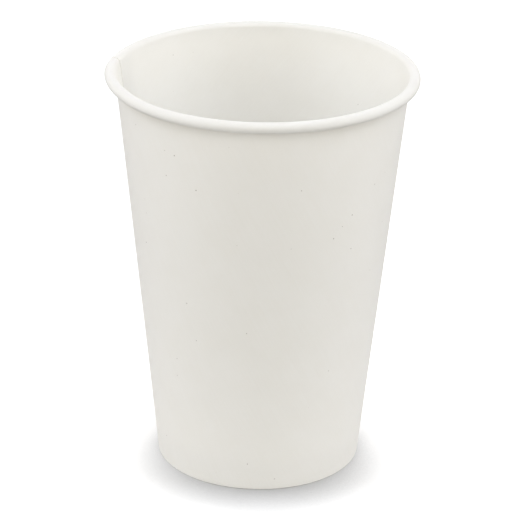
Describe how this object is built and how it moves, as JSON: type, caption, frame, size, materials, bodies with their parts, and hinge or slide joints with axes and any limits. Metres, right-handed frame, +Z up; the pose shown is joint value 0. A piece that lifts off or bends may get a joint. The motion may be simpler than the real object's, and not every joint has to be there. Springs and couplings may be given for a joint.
{
  "type": "paper coffee cup",
  "caption": "Plain white paper cup for hot drinks: conical lapped side wall with a rolled rim and a recessed base.",
  "frame": {"origin": "on the surface the cup stands on, in the middle of its foot ring", "axes": "+Z up along the cup's axis to the rim; the side seam lies near azimuth 168 degrees from +X towards +Y"},
  "size_m": [0.08, 0.08, 0.106],
  "materials": {
    "wall_board": "matt coated white board, smooth",
    "base_board": "matt coated white board, smooth"
  },
  "bodies": {
    "root": {"side_wall": "wall_board", "base_disc": "base_board"}
  },
  "joints": []
}
